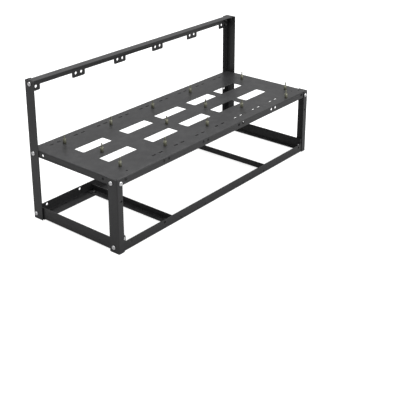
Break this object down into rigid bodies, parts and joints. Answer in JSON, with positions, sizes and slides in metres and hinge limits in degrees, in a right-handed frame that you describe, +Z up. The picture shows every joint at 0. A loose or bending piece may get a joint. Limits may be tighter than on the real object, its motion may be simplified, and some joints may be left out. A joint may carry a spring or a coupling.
{
  "type": "mining rig frame",
  "caption": "Open black sheet steel frame for a mining rig: raised board tray with cable windows, corner posts, rear fan beam, lower rails and power supply rails.",
  "frame": {"origin": "centre of the footprint, on the floor", "axes": "+Z up, +X along the length to the right, +Y towards the fans at the rear"},
  "size_m": [0.6394, 0.2444, 0.294],
  "materials": {
    "black_coat": "satin powder coat",
    "zinc_screws": "bright zinc plate",
    "black_screws": "black oxide",
    "brass": "dull brass"
  },
  "bodies": {
    "root": {"front_left_post": "black_coat", "front_right_post": "black_coat", "rear_left_post": "black_coat", "rear_right_post": "black_coat", "motherboard_tray": "black_coat", "fan_beam": "black_coat", "front_lower_rail": "black_coat", "rear_lower_rail": "black_coat", "left_lower_rail": "black_coat", "right_lower_rail": "black_coat", "left_psu_rail": "black_coat", "right_psu_rail": "black_coat", "beam_side_screws": "zinc_screws", "beam_side_nuts": "black_screws", "beam_rear_screws": "zinc_screws", "beam_rear_nuts": "black_screws", "tray_side_screws": "zinc_screws", "tray_side_nuts": "black_screws", "tray_face_screws": "zinc_screws", "tray_face_nuts": "black_screws", "base_side_screws": "zinc_screws", "base_side_nuts": "black_screws", "psu_rail_screws": "black_screws", "rear_standoffs": "brass", "middle_standoffs": "brass", "front_standoffs": "brass", "end_standoffs": "brass"}
  },
  "joints": []
}
